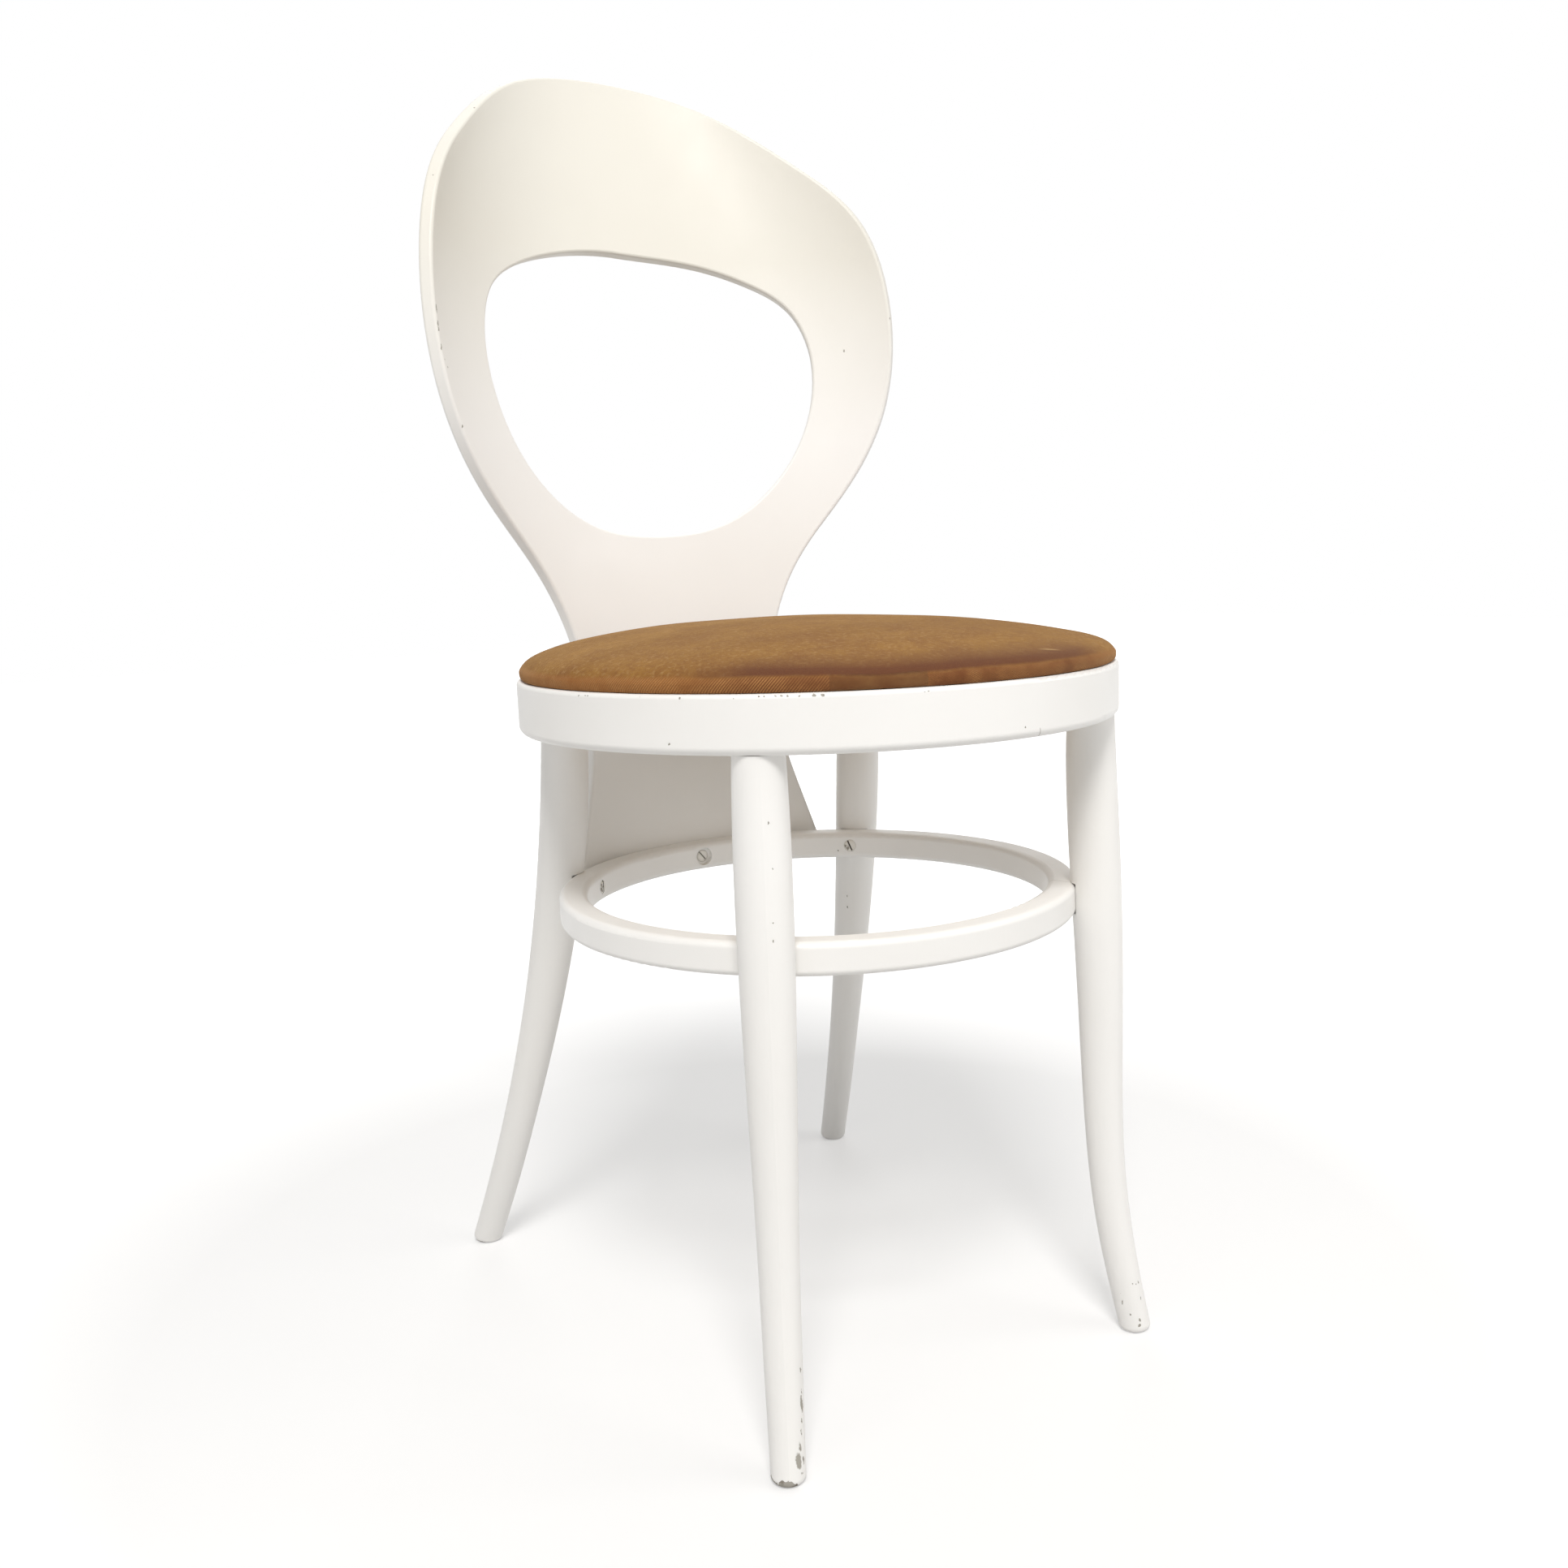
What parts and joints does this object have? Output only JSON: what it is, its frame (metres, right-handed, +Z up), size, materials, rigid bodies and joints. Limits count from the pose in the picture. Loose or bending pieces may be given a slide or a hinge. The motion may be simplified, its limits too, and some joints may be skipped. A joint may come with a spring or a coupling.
{
  "type": "bentwood bistro chair",
  "caption": "Dining chair with a round upholstered seat, splayed bentwood legs, a bracing hoop and a moulded plywood back shell with a large opening.",
  "frame": {"origin": "on the floor, under the middle of the chair's outer box", "axes": "+Z up, -Y towards the front of the seat, +X to the sitter's left, left and right in the names are as seen from the front"},
  "size_m": [0.384, 0.4829, 0.877],
  "materials": {
    "painted_wood": "warm off-white satin paint over bent beech and beech plywood",
    "plywood": "bare sanded plywood",
    "foam": "open-cell upholstery foam",
    "velvet": "ochre cotton velvet with a short pile",
    "screw_steel": "dull steel, partly painted over"
  },
  "bodies": {
    "root": {"back_shell": "painted_wood", "seat_ring": "painted_wood", "stretcher_hoop": "painted_wood", "front_leg_left": "painted_wood", "front_leg_right": "painted_wood", "rear_leg_left": "painted_wood", "rear_leg_right": "painted_wood", "seat_board": "plywood", "seat_foam": "foam", "seat_cover": "velvet", "cover_staples": "screw_steel", "hoop_leg_screws": "screw_steel", "hoop_shell_screw": "screw_steel", "ring_shell_screws": "screw_steel", "seat_screws": "screw_steel"}
  },
  "joints": []
}
